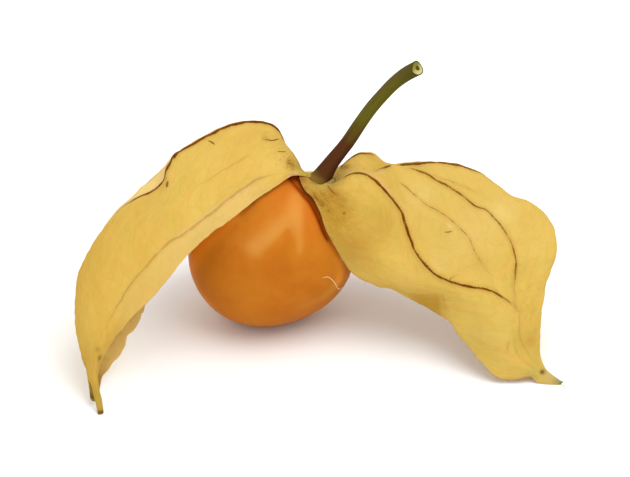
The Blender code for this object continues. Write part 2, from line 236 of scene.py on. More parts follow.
def normals_of(grid, inside):
    """Unit normals of a grid of points, facing away from the point inside at the grid's middle."""
    n = np.cross(np.gradient(grid, axis=0), np.gradient(grid, axis=1))
    n /= np.maximum(np.linalg.norm(n, axis=2, keepdims=True), 1e-12)
    middle = tuple(k // 2 for k in grid.shape[:2])
    return n if n[middle] @ (grid[middle] - np.array(inside)) > 0 else -n


def each(values, function):
    """function of every 3-D point in values, as an array."""
    flat = values.reshape(-1, 3)
    return np.array([function(Vector(p)) for p in flat]).reshape(values.shape[:-1])


def rough_noise(grid, scale, seed=0.0):
    """Smooth noise between about -1 and 1 whose bumps are scale millimetres wide."""
    shift = Vector((seed, seed * 1.7, seed * 0.3))
    return each(grid / (scale * MM), lambda p: noise.noise(p + shift))


# ---------------------------------------------------------------- node materials

class Shader:
    """A material whose nodes are made and joined by short calls."""

    def __init__(self, name):
        self.material = bpy.data.materials.new(name)
        self.material.use_nodes = True
        self.tree = self.material.node_tree
        self.main = self.tree.nodes["Principled BSDF"]
        self.output = self.tree.nodes["Material Output"]

    def node(self, kind, **settings):
        made = self.tree.nodes.new(kind)
        for name, value in settings.items():
            setattr(made, name, value)
        return made

    def put(self, socket, value):
        """A link when value is another node's socket, else a plain value."""
        if isinstance(value, bpy.types.NodeSocket):
            self.tree.links.new(value, socket)
        elif isinstance(value, tuple) and len(value) == 3 and len(socket.default_value) == 4:
            socket.default_value = (*value, 1.0)
        else:
            socket.default_value = value

    def attribute(self, name, vector=False):
        made = self.node("ShaderNodeAttribute", attribute_name=name)
        return made.outputs["Vector" if vector else "Fac"]

    def object_mm(self):
        """The place in millimetres, in the frame that every piece shares."""
        where = self.node("ShaderNodeTexCoord").outputs["Object"]
        return self.vector("SCALE", where, scale=1 / MM)

    def math(self, operation, a, b=0.0):
        made = self.node("ShaderNodeMath", operation=operation)
        self.put(made.inputs[0], a)
        self.put(made.inputs[1], b)
        return made.outputs[0]

    def times(self, a, b):
        return self.math("MULTIPLY", a, b)

    def plus(self, a, b):
        return self.math("ADD", a, b)

    def total(self, first, *others):
        """The sum of values, each of which comes with its weight."""
        result = self.times(*first)
        for value, weight in others:
            result = self.plus(result, self.times(value, weight))
        return result

    def stray(self, value, unevenness, reach):
        """value, moved up or down by half of reach at most."""
        return self.plus(value, self.times(self.math("SUBTRACT", unevenness, 0.5), reach))

    def vector(self, operation, a, b=(0.0, 0.0, 0.0), scale=1.0):
        made = self.node("ShaderNodeVectorMath", operation=operation)
        self.put(made.inputs[0], a)
        if operation == "SCALE":
            self.put(made.inputs["Scale"], scale)
        else:
            self.put(made.inputs[1], b)
        return made.outputs[0]

    def parts(self, vector):
        made = self.node("ShaderNodeSeparateXYZ")
        self.put(made.inputs[0], vector)
        return made.outputs[0], made.outputs[1], made.outputs[2]

    def noise(self, vector, scale, detail=2.0, roughness=0.5, colour=False):
        made = self.node("ShaderNodeTexNoise")
        self.put(made.inputs["Vector"], vector)
        made.inputs["Scale"].default_value = scale
        made.inputs["Detail"].default_value = detail
        made.inputs["Roughness"].default_value = roughness
        return made.outputs["Color" if colour else "Fac"]

    def net(self, vector, scale, width):
        """1 on the walls of a net of cells, 0 inside them."""
        made = self.node("ShaderNodeTexVoronoi", feature="DISTANCE_TO_EDGE")
        self.put(made.inputs["Vector"], vector)
        made.inputs["Scale"].default_value = scale
        return self.ramp(made.outputs["Distance"], width, 0.0)

    def ramp(self, value, low, high, to_low=0.0, to_high=1.0):
        """value carried smoothly from the range low..high to to_low..to_high, which may run backwards."""
        made = self.node("ShaderNodeMapRange", interpolation_type="SMOOTHSTEP")
        self.put(made.inputs["Value"], value)
        if low > high:
            low, high, to_low, to_high = high, low, to_high, to_low
        for name, number in (("From Min", low), ("From Max", high), ("To Min", to_low), ("To Max", to_high)):
            made.inputs[name].default_value = number
        return made.outputs["Result"]

    def mix(self, share, a, b):
        made = self.node("ShaderNodeMix", data_type="RGBA")
        self.put(made.inputs[0], share)
        self.put(made.inputs[6], a)
        self.put(made.inputs[7], b)
        return made.outputs[2]

    def layers(self, colour, *coats):
        """colour under coats of other colours, each laid on with its own share."""
        for share, tint in coats:
            colour = self.mix(share, colour, tint)
        return colour

    def patchy(self, where, scale, detail, low, high):
        """A value that wanders between low and high from place to place."""
        return self.ramp(self.noise(where, scale, detail), 0.3, 0.7, low, high)

    def bump(self, height, depth, strength):
        made = self.node("ShaderNodeBump")
        made.inputs["Strength"].default_value = strength
        made.inputs["Distance"].default_value = depth
        self.put(made.inputs["Height"], height)
        return made.outputs["Normal"]

    def set(self, **values):
        for name, value in values.items():
            self.put(self.main.inputs[name.replace("_", " ")], value)


def husk_paper():
    """Dry papery husk: straw to ochre, dark ribs, thinner side veins and a fine raised net."""
    m = Shader("husk_paper_fine")
    sheet = m.attribute("sheet", vector=True)
    along = m.parts(sheet)[0]
    gap, dark, pale = m.attribute("vein_gap"), m.attribute("vein_dark"), m.attribute("pale")
    rib, edge = m.attribute("rib_mm"), m.attribute("edge_mm")
    stain, cover, speckle = m.attribute("stain", vector=True), m.attribute("cover"), m.attribute("speckle")

    wander = m.vector("ADD", sheet, m.vector("SCALE", m.noise(sheet, 0.6, 3.0, colour=True), scale=0.7))
    blotch = m.ramp(m.noise(sheet, 0.16, 4.0, 0.55), 0.35, 0.68)
    cloud = m.ramp(m.noise(sheet, 0.75, 5.0, 0.62), 0.36, 0.70)
    fleck = m.ramp(m.noise(sheet, 3.4, 3.0, 0.65), 0.56, 0.78)
    wide_net = m.net(wander, 0.42, 0.04)
    fine_net = m.net(wander, 1.15, 0.06)

    slant = m.math("SUBTRACT", along, m.times(rib, 1.1))
    slant = m.plus(m.times(slant, 0.3), m.noise(sheet, 0.3, 2.0))
    side = m.math("ABSOLUTE", m.math("SUBTRACT", m.math("FRACT", slant), 0.5))
    side = m.times(m.ramp(side, 0.04, 0.0), m.ramp(rib, 5.0, 0.6))

    hue = m.noise(m.vector("ADD", sheet, (40.0, 20.0, 0.0)), 0.42, 4.0, 0.6)
    small = m.noise(m.vector("ADD", sheet, (70.0, 10.0, 0.0)), 1.5, 3.0, 0.6)
    uneven = m.ramp(m.noise(sheet, 1.1, 4.0, 0.6), 0.3, 0.6, 0.80, 1.0)
    grit = m.ramp(m.noise(sheet, 2.1, 4.0, 0.7), 0.50, 0.60)
    halo = m.times(m.times(m.ramp(gap, 0.55, 0.0), dark), 0.30)
    frayed = m.stray(gap, m.noise(sheet, 4.0, 3.0), 0.16)
    rib_tint = m.mix(m.ramp(m.noise(sheet, 0.7, 3.0), 0.35, 0.65), (0.28, 0.092, 0.001), (0.17, 0.043, 0.001))
    colour = m.layers(
        m.mix(blotch, (0.85, 0.605, 0.130), (0.79, 0.515, 0.090)),
        (m.times(cloud, 0.42), (0.87, 0.695, 0.18)),
        (m.times(fleck, 0.28), (0.66, 0.38, 0.045)),
        (m.times(fine_net, 0.05), (0.54, 0.33, 0.05)),
        (m.times(wide_net, 0.08), (0.52, 0.31, 0.05)),
        (m.times(side, 0.08), (0.52, 0.30, 0.05)),
        (m.ramp(hue, 0.50, 0.68, 0.0, 0.70), (0.89, 0.57, 0.135)),
        (m.ramp(hue, 0.50, 0.32, 0.0, 0.55), (0.77, 0.595, 0.115)),
        (m.ramp(small, 0.50, 0.66, 0.0, 0.20), (0.88, 0.52, 0.12)),
        (m.ramp(small, 0.50, 0.34, 0.0, 0.14), (0.80, 0.65, 0.15)),
        (m.times(cover, uneven), stain),
        (m.times(speckle, grit), (0.39, 0.195, 0.016)),
        (m.times(m.ramp(edge, 0.22, 0.0), 0.30), (0.90, 0.68, 0.28)),
        (halo, (0.60, 0.29, 0.04)),
        # painted highlight beside ribs and folds, and a pale torn rim
        (pale, (0.88, 0.60, 0.30)),
        (m.times(m.ramp(frayed, 0.05, -0.06), dark), rib_tint),
    )
    colour = m.vector("SCALE", colour, scale=0.9)
    crumple = m.noise(sheet, 3.0, 4.0, 0.6)
    height = m.total((wide_net, 0.8), (fine_net, 0.35), (side, 0.6), (crumple, 0.9), (cloud, 0.6))
    m.set(
        Base_Color=colour,
        Roughness=m.patchy(sheet, 0.9, 3.0, 0.55, 0.75),
        Specular_IOR_Level=0.03,
        Normal=m.bump(height, 0.05 * MM, 0.6),
    )
    through = m.node("ShaderNodeBsdfTranslucent")
    m.put(through.inputs["Color"], colour)
    both = m.node("ShaderNodeMixShader")
    both.inputs[0].default_value = 0.35
    m.put(both.inputs[1], m.main.outputs[0])
    m.put(both.inputs[2], through.outputs[0])
    m.put(m.output.inputs["Surface"], both.outputs[0])
    return m.material


def berry_skin():
    """Thin waxy orange skin with soft light inside it: a painted highlight where it faces the sky, painted
    shade beside it and below, and painted fill light and a painted shadow where the flaps shade it.
    """
    m = Shader("berry_skin_fine")
    where = m.object_mm()
    down, painted_light_and_shade, painted_edge_shadow, painted_fill_light = (m.attribute(name) for name in ("down", "painted_light_and_shade", "painted_edge_shadow", "painted_fill_light"))
    cloud = m.ramp(m.noise(where, 0.13, 4.0, 0.5), 0.35, 0.65)
    flesh = m.ramp(m.noise(where, 0.5, 4.0, 0.6), 0.40, 0.70)
    dots = m.ramp(m.noise(where, 1.9, 2.0, 0.5), 0.60, 0.76)
    colour = m.layers(
        m.mix(cloud, (0.515, 0.168, 0.012), (0.475, 0.139, 0.009)),
        (m.times(flesh, 0.25), (0.62, 0.225, 0.025)),
        (m.times(dots, 0.10), (0.66, 0.29, 0.05)),
        # painted highlight, and painted shade where the streaks' amount is negative
        (m.ramp(painted_light_and_shade, 0.0, 1.0), (0.63, 0.306, 0.06)),
        (m.ramp(painted_light_and_shade, 0.0, -1.0), (0.42, 0.115, 0.008)),
        # painted shade: deeper red near the crown, under the flaps
        (m.times(m.ramp(down, 0.34, 0.12), 0.55), (0.64, 0.155, 0.012)),
    )
    colour = m.vector("SCALE", colour, scale=0.9)
    colour = m.layers(
        colour,
        # painted fill light where the flaps shade the berry
        (m.ramp(painted_fill_light, 0.0, 1.1), (1.0, 0.345, 0.028)),
        # painted shadow along the right flap's edge
        (painted_edge_shadow, (0.24, 0.024, 0.001)),
        (m.ramp(down, 0.985, 0.997), (0.145, 0.063, 0.018)),
    )
    height = m.plus(m.noise(where, 0.9, 3.0, 0.55), m.times(m.noise(where, 5.0, 2.0), 0.12))
    m.set(
        Base_Color=colour,
        Roughness=m.patchy(where, 0.5, 3.0, 0.34, 0.46),
        Specular_IOR_Level=0.02,
        Subsurface_Weight=0.22,
        Subsurface_Radius=(1.0, 0.35, 0.1),
        Subsurface_Scale=1.3 * MM,
        Normal=m.bump(height, 0.04 * MM, 0.4),
    )
    return m.material


def stalk_skin():
    """Olive green stalk that turns maroon towards the fruit, with a pale cut end."""
    m = Shader("stalk_fine")
    sheet = m.attribute("sheet", vector=True)
    rise, cut, side = m.attribute("rise"), m.attribute("cut"), m.attribute("side")
    grain = m.noise(m.vector("MULTIPLY", sheet, (0.35, 3.2, 1.0)), 1.0, 4.0, 0.6)
    patch = m.noise(sheet, 0.5, 3.0)
    place = m.stray(rise, patch, 0.12)
    foot = m.mix(m.ramp(side, -0.8, 0.8), (0.225, 0.125, 0.022), (0.125, 0.052, 0.007))
    purple = m.times(m.ramp(side, 0.2, 0.9), m.ramp(place, 0.62, 0.4))
    purple = m.times(purple, m.ramp(place, 0.04, 0.14))
    brown = m.times(m.ramp(side, -0.3, -0.95), m.ramp(place, 0.5, 0.7))
    streak = m.times(m.ramp(grain, 0.5, 0.75), m.ramp(place, 0.3, 0.6, 0.12, 0.42))
    colour = m.layers(
        m.mix(m.ramp(place, 0.40, 0.60), (0.085, 0.026, 0.006), (0.118, 0.104, 0.009)),
        (m.ramp(place, 0.80, 1.0), (0.080, 0.070, 0.010)),
        (m.ramp(place, 0.15, 0.04), foot),
        (m.ramp(rise, 0.02, 0.0), (0.40, 0.27, 0.06)),
        (m.times(purple, 0.8), (0.046, 0.009, 0.008)),
        (m.times(brown, 0.6), (0.13, 0.070, 0.028)),
        (streak, (0.20, 0.185, 0.025)),
        (m.times(m.ramp(grain, 0.45, 0.25), 0.45), (0.040, 0.024, 0.006)),
    )
    pith = m.mix(m.ramp(side, -0.5, 0.6), (0.22, 0.20, 0.025), (0.62, 0.57, 0.22))
    pith = m.mix(m.ramp(cut, 0.78, 0.94), pith, (0.045, 0.042, 0.012))
    core = m.stray(cut, patch, 0.3)
    pith = m.mix(m.ramp(core, 0.44, 0.24), pith, (0.075, 0.066, 0.005))
    colour = m.mix(m.ramp(cut, 1.5, 1.0), colour, pith)
    colour = m.vector("SCALE", colour, scale=0.78)
    m.set(
        Base_Color=colour,
        Roughness=m.ramp(grain, 0.3, 0.7, 0.5, 0.7),
        Specular_IOR_Level=0.05,
        Normal=m.bump(grain, 0.05 * MM, 0.8),
    )
    return m.material


def calyx_skin():
    """The fused base of the husk: straw-coloured rim, olive and rough towards the stalk."""
    m = Shader("calyx_base_fine")
    sheet = m.attribute("sheet", vector=True)
    out = m.attribute("out")
    ray = m.noise(m.vector("MULTIPLY", sheet, (0.8, 3.0, 1.0)), 1.0, 4.0, 0.65)
    colour = m.layers(
        m.mix(m.ramp(out, 0.45, 0.8), (0.24, 0.165, 0.035), (0.58, 0.38, 0.09)),
        (m.times(m.ramp(ray, 0.45, 0.7), 0.45), (0.38, 0.25, 0.05)),
        (m.times(m.ramp(ray, 0.5, 0.3), 0.35), (0.72, 0.56, 0.19)),
    )
    m.set(
        Base_Color=colour,
        Roughness=m.ramp(ray, 0.3, 0.7, 0.55, 0.75),
        Specular_IOR_Level=0.05,
        Normal=m.bump(ray, 0.06 * MM, 0.8),
    )
    return m.material


def dark_marks():
    """Dry brown spots and torn fibres on the husk."""
    m = Shader("husk_marks")
    where = m.object_mm()
    colour = m.mix(m.ramp(m.noise(where, 2.5, 3.0), 0.3, 0.7), (0.30, 0.125, 0.018), (0.14, 0.050, 0.008))
    m.set(
        Base_Color=colour,
        Roughness=m.patchy(where, 4.0, 2.0, 0.6, 0.85),
        Specular_IOR_Level=0.05,
    )
    return m.material


def pale_fibre():
    """A pale dry fibre."""
    m = Shader("pale_fibre")
    where = m.object_mm()
    colour = m.mix(m.ramp(m.noise(where, 3.0, 2.0), 0.3, 0.7), (0.86, 0.62, 0.30), (0.74, 0.46, 0.18))
    m.set(Base_Color=colour, Roughness=m.patchy(where, 5.0, 2.0, 0.5, 0.7))
    return m.material


def floor_paint():
    """A plain pale floor."""
    m = Shader("pale_floor")
    where = m.object_mm()
    shade = m.ramp(m.noise(where, 0.02, 2.0), 0.3, 0.7)
    m.set(
        Base_Color=m.mix(shade, (0.93, 0.93, 0.925), (0.90, 0.90, 0.895)),
        Roughness=0.85,
        Specular_IOR_Level=0.2,
    )
    return m.material


# ---------------------------------------------------------------- meshes

def add_object(name, data):
    """An object in the scene that shows a mesh, a light or a camera."""
    made = bpy.data.objects.new(name, data)
    bpy.context.scene.collection.objects.link(made)
    return made


def add_piece(name, verts, faces, material, attributes, slot, *nodes):
    """A smooth mesh piece with point attributes, which stands for CAD nodes and rides on the part's body."""
    mesh = bpy.data.meshes.new(name)
    mesh.from_pydata([tuple(v) for v in verts], [], [tuple(int(i) for i in f) for f in faces])
    mesh.update()
    for key, values in attributes.items():
        values = np.asarray(values, np.float32)
        kind = "FLOAT_VECTOR" if values.ndim == 2 else "FLOAT"
        made = mesh.attributes.new(key, kind, "POINT")
        made.data.foreach_set("vector" if values.ndim == 2 else "value", values.ravel())
    mesh.materials.append(material)
    mesh.shade_smooth()
    piece = add_object(name, mesh)
    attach(piece, "root")
    if nodes:
        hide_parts(*nodes)


def grid_faces(rows, columns, closed=False):
    """Quads of a rows x columns grid of points, whose columns may close into a ring."""
    i, j = np.meshgrid(np.arange(rows - 1), np.arange(columns if closed else columns - 1), indexing="ij")
    k = (j + 1) % columns
    return np.stack([i * columns + j, i * columns + k, (i + 1) * columns + k, (i + 1) * columns + j], axis=-1)


def ring_faces(rings, segments):
    """Quads between rings of points, one ring after the other."""
    return [tuple(face) for face in grid_faces(rings, segments, closed=True).reshape(-1, 4)]


def joined(parts):
    """The verts and faces of several small meshes as one."""
    verts, faces = [], []
    for more, extra in parts:
        faces += [tuple(i + len(verts) for i in face) for face in extra]
        verts += more
    return verts, faces


class Veins:
    """The veins of one husk flap, and how they lie around each point of its grid."""

    def __init__(self, grid, outward, columns_per_gap, veins, highlight_and_pale_rim_lines):
        shape = grid.shape[:2]
        self.gap = np.full(shape, 1e3)  # mm to the nearest vein's side, negative on the vein
        self.dark = np.zeros(shape)
        self.midrib = np.full(shape, 1e3)  # mm to the nearest midrib
        self.rise = np.zeros(shape)  # how far the veins stand up, in mm
        for run, dark, half_width, fade_in, fade_out, rise, keel in veins:
            if isinstance(run, list):
                line = line_on_sheet(grid, outward, run)
            elif isinstance(run, tuple):
                line = line_by_ribs(grid, columns_per_gap, run)
            else:
                line = grid[run * columns_per_gap]
            line = line + [0.12 * MM * np.array(noise.noise_vector(Vector(p) / (1.3 * MM))) for p in line]
            away, place = nearest(grid, line)
            shown = smooth(*fade_in, place) * smooth(fade_out[1], fade_out[0], place)
            uneven = 1.0 + 0.25 * np.array([noise.noise(Vector((p * 34.0, dark * 9.0, half_width * 50.0)))
                                            for p in np.linspace(0, 1, len(line))])
            taper = 0.0 if isinstance(run, list) else 0.4
            width = half_width * (1.0 - taper * place) * (0.35 + 0.65 * shown)
            width = width * uneven[(place * (len(line) - 1)).astype(int)]
            nearer = away - width < self.gap
            self.gap = np.where(nearer, away - width, self.gap)
            self.dark = np.where(nearer, dark * shown, self.dark)
            self.rise += rise * shown * np.exp(-((away / (width * 1.3 + 0.05)) ** 2))
            self.rise += keel * (0.3 + 0.7 * shown) * np.exp(-((away / 1.1) ** 2))
            if dark > MIDRIB_DARKNESS:
                self.midrib = np.minimum(self.midrib, away)
        # painted highlights beside ribs and folds, and along a pale torn rim
        self.pale = np.zeros(shape)
        for run, amount, half_width in highlight_and_pale_rim_lines:
            away, place = nearest(grid, line_on_sheet(grid, outward, run))
            shown = smooth(0.0, 0.15, place) * smooth(1.0, 0.8, place)
            self.pale = np.maximum(self.pale, amount * shown * np.exp(-((away / half_width) ** 2)))


def nearest(grid, line):
    """How far each grid point is from a line of points, in mm, and at what share of its length."""
    tree = kdtree.KDTree(len(line))
    for i, point in enumerate(line):
        tree.insert(Vector(point), i)
    tree.balance()
    found = [tree.find(Vector(p)) for p in grid.reshape(-1, 3)]
    away = np.array([f[2] for f in found]).reshape(grid.shape[:2]) / MM
    return away, np.array([f[1] for f in found]).reshape(grid.shape[:2]) / (len(line) - 1)


def line_on_sheet(grid, outward, run):
    """A drawn line, laid on the front of a flap and smoothed."""
    flat = np.array([(*p, 0.0) for p in run])
    fine = evenly(flat, 60)
    line = np.array([list(on_sheet(grid, outward, p[0], p[1])) for p in fine])
    for _ in range(3):
        line[1:-1] = (line[:-2] + 2 * line[1:-1] + line[2:]) / 4
    return evenly(line, 200)


def line_by_ribs(grid, columns_per_gap, run):
    """A line through places on a flap that are given as a rib's number and a share of its length."""
    fine = evenly(np.array([(*p, 0.0) for p in run]), 60)
    i, j = fine[:, 0] * columns_per_gap, fine[:, 1] * (grid.shape[1] - 1)
    a, b = np.minimum(i.astype(int), grid.shape[0] - 2), np.minimum(j.astype(int), grid.shape[1] - 2)
    u, v = (i - a)[:, None], (j - b)[:, None]
    near = grid[a, b] * (1 - u) + grid[a + 1, b] * u
    far = grid[a, b + 1] * (1 - u) + grid[a + 1, b + 1] * u
    return evenly(near * (1 - v) + far * v, 200)


def branches(rib, toward, starts, reach=0.11):
    """Fine veins that leave a rib at these shares of its length and slant off to one side."""
    return [
        (((rib, start), (rib + 0.45 * toward, start + 0.65 * reach), (rib + 0.9 * toward, start + reach)),
         0.44, 0.09, (0.0, 0.08), (0.65, 1.0), 0.07, 0.06)
        for start in starts
    ]


def husk_grid(ribs, stations, columns_per_gap):
    """The flap's middle surface: (columns, stations) of points, drawn over its ribs."""
    lines = []
    for angle, points in ribs:
        root = round_collar(angle, ROOT_RADIUS, ROOT_HEIGHT)
        lines.append(evenly([root] + [placed(*p) for p in points], stations + 1))
    return weave(np.array(lines), np.linspace(0, len(lines) - 1, columns_per_gap * (len(lines) - 1) + 1))


def husk_piece(name, ribs, node, stations, columns_per_gap, look, finish, seed):
    """A husk flap: ribs, puckers and torn edges on a thin closed sheet."""
    grid = husk_grid(ribs, stations, columns_per_gap)
    columns = grid.shape[0]
    t = np.linspace(0, len(ribs) - 1, columns)[:, None] * np.ones((1, stations + 1))
    s = np.linspace(0, 1, stations + 1)[None, :] * np.ones((columns, 1))
    split_tip = name == "left_husk"
    if split_tip:
        grid = left_tip(grid, s, t)
    along, across = lengths_along(grid, 1), lengths_along(grid, 0)
    width = across[-1:, :] * np.ones((columns, 1))
    edge = np.minimum(np.minimum(across, width - across), (along[:, -1:] - along) * 0.8)
    lines = Veins(grid, normals_of(grid, CENTRE), columns_per_gap, look["veins"], look["highlight_and_pale_rim_lines"])

    # torn edges: the rims wander in the sheet's own plane
    side = np.gradient(grid, axis=0)
    side /= np.maximum(np.linalg.norm(side, axis=2, keepdims=True), 1e-12)
    outwards = np.where(t < (len(ribs) - 1) / 2, -1.0, 1.0)
    tear = along / 0.95 + 37.0 * (outwards > 0) + seed
    ragged = np.array([torn(a) for a in tear.ravel()]).reshape(tear.shape)
    reach = np.where(outwards < 0, *look["ragged"]) * smooth(0.04, 0.12, s) * smooth(0.93, 0.85, s)
    reach = reach * np.exp(-np.minimum(across, width - across) / 0.7)
    grid = grid + side * (outwards * ragged * reach)[..., None] * MM

    # puckers between the veins, fine pleats at the root, and the veins themselves
    calm = smooth(0.0, 1.6, lines.gap)
    swell = 0.26 * rough_noise(grid, 4.2, seed) + 0.12 * rough_noise(grid, 1.9, seed + 9)
    crumple = 0.07 * rough_noise(grid, 0.85, seed + 21)
    pleat = rough_noise(np.stack([t * 2.4 * MM, s * MM, s * 0], axis=2), 1.0, seed)
    pleat = 0.11 * np.exp(-along / 3.5) * pleat
    height = (swell * (0.35 + 0.65 * calm) + crumple) * smooth(0.0, 0.12, s) * smooth(1.0, 0.93, s)
    outward = normals_of(grid, CENTRE)
    height = height + pleat + lines.rise
    for right, up, wide, amount in look["swells"]:
        away = np.linalg.norm(grid - np.array(on_sheet(grid, outward, right, up)), axis=2) / MM
        height = height + amount * np.exp(-((away / wide) ** 2))
    middle = grid + outward * height[..., None] * MM
    outward = normals_of(middle, CENTRE)
    half = SHEET_HALF * (0.45 + 0.55 * smooth(0.0, 0.5, np.minimum(across, width - across)))[..., None] * MM
    outer, inner = middle + outward * half, middle - outward * half
    for layer in (outer, inner):
        layer[..., 2] = np.maximum(layer[..., 2], SHEET_FLOOR_GAP)

    stain, cover, speckle = np.zeros(s.shape + (3,)), np.zeros(s.shape), np.zeros(s.shape)
    for span, shown, tint in look["stains"]:
        share = shown * stain_share(span, middle, outward, s, t)
        if tint is GRIT:
            speckle = np.maximum(speckle, share)
            continue
        stain = stain * (1 - share)[..., None] + np.array(tint) * share[..., None]
        cover = cover * (1 - share) + share
    stain = stain / np.maximum(cover, 1e-3)[..., None]

    faces = grid_faces(columns, stations + 1)
    keep = np.ones(faces.shape[:2], bool)
    if split_tip:
        keep[round(PRONG_SLIT * columns_per_gap), s[0, :-1] > PRONG_START] = False
    flipped = np.cross(outer[1, 1] - outer[0, 0], outer[0, 1] - outer[1, 0]) @ outward[0, 0] > 0
    faces = faces[keep]
    count = outer.shape[0] * outer.shape[1]
    top = faces[:, ::-1] if flipped else faces
    bottom = top[:, ::-1] + count
    edges = {}
    for face in top:
        for a, b in zip(face, np.roll(face, -1)):
            edges[(a, b)] = edges.get((a, b), 0) + 1
    rim = [(b, a, a + count, b + count) for a, b in edges if (b, a) not in edges]
    every = np.concatenate([top, bottom, np.array(rim)])
    values = {
        "sheet": np.stack([along + 100 * seed, across, s * 0], axis=2).reshape(-1, 3),
        "vein_gap": lines.gap.ravel(), "vein_dark": lines.dark.ravel(), "rib_mm": lines.midrib.ravel(),
        "edge_mm": edge.ravel(), "pale": lines.pale.ravel(), "cover": cover.ravel(),
        "stain": stain.reshape(-1, 3), "speckle": speckle.ravel(),
    }
    values = {key: np.concatenate([v, v]) for key, v in values.items()}
    verts = np.concatenate([outer.reshape(-1, 3), inner.reshape(-1, 3)])
    add_piece(name, verts, every, finish, values, "husk_paper", node)
    return middle, outward


def stain_share(span, middle, outward, s, t):
    """How much of a stain each point has, 0 to 1: around a place, on a stretch or in a drawn area."""
    if not isinstance(span[0], (tuple, list)):
        right, up, wide = span
        away = np.linalg.norm(middle - np.array(on_sheet(middle, outward, right, up)), axis=2) / MM
        return np.exp(-((away / wide) ** 2))
    if isinstance(span[0], tuple):
        (t_low, t_high), (s_low, s_high), soft_t, soft_s = span
        share = smooth(t_low - soft_t, t_low + soft_t, t) * smooth(t_high + soft_t, t_high - soft_t, t)
        return share * smooth(s_low - soft_s, s_low + soft_s, s) * smooth(s_high + soft_s, s_high - soft_s, s)
    corners, soft = span
    flat = (middle - np.array(CENTRE)) / MM
    right, up = flat @ np.array(RIGHTWARDS), flat @ np.array(UPWARDS)
    share = np.where(outward @ np.array(BACKWARDS) < 0, 1.0, 0.0)
    for (x0, y0), (x1, y1) in zip(corners, corners[1:] + corners[:1]):
        inside = ((y1 - y0) * (right - x0) - (x1 - x0) * (up - y0)) / math.hypot(x1 - x0, y1 - y0)
        share = share * smooth(-soft, soft, inside)
    return share


def torn(place):
    """How far a torn rim wanders: mostly a little, in a few places more, as a share of its reach."""
    def wave(speed, seed):
        return noise.noise(Vector((place * speed, seed, 0.0)))

    strong = 0.35 + 1.3 * max(wave(0.23, 8.0), 0.0) * 2.0
    fine = 0.5 * wave(2.3, 5.0) + 0.35 * wave(5.9, 2.0)
    return strong * (wave(0.8, 0.0) + fine)


def on_sheet(middle, outward, right, up):
    """The point of a flap's outside that lies at this drawn place, the nearest one to the front."""
    flat = middle.reshape(-1, 3) - np.array(CENTRE)
    faced = outward.reshape(-1, 3) @ np.array(BACKWARDS) < 0
    off = np.hypot(flat @ np.array(RIGHTWARDS) / MM - right, flat @ np.array(UPWARDS) / MM - up)
    cost = off + np.where(faced, 0.0, 50.0) + 0.02 * (flat @ np.array(BACKWARDS)) / MM
    return Vector(middle.reshape(-1, 3)[int(np.argmin(cost))])


def left_tip(grid, s, t):
    """Spreads the left flap's tip into two narrow prongs, the front one longer and along the ground."""
    open_up = smooth(0.90, 1.0, s)[..., None]
    front = (t <= PRONG_SLIT)[..., None]
    ahead = np.array(drawn(1.05, -0.6, 0.0)) + np.array([0.0, -1.6, 0.0])
    behind = np.array(drawn(0.12, 0.7, 0.0))
    return grid + np.where(front, ahead, behind) * open_up * MM


# Colours of stains and of painted shade, and grit, which marks a speckled place.
OCHRE = (0.58, 0.315, 0.030)
PAINTED_FOLD_SHADE = (0.53, 0.255, 0.010)
TAN = (0.92, 0.71, 0.26)
PAINTED_ROOT_SHADE = (0.43, 0.125, 0.012)
RUSSET = (0.49, 0.225, 0.016)
PINK = (0.78, 0.58, 0.36)
PALE = (0.93, 0.70, 0.26)
LIGHT = (0.88, 0.635, 0.165)
BROWN = (0.11, 0.042, 0.003)
OLIVE = (0.36, 0.24, 0.030)
MOSS = (0.42, 0.42, 0.20)
GRIT = "grit"
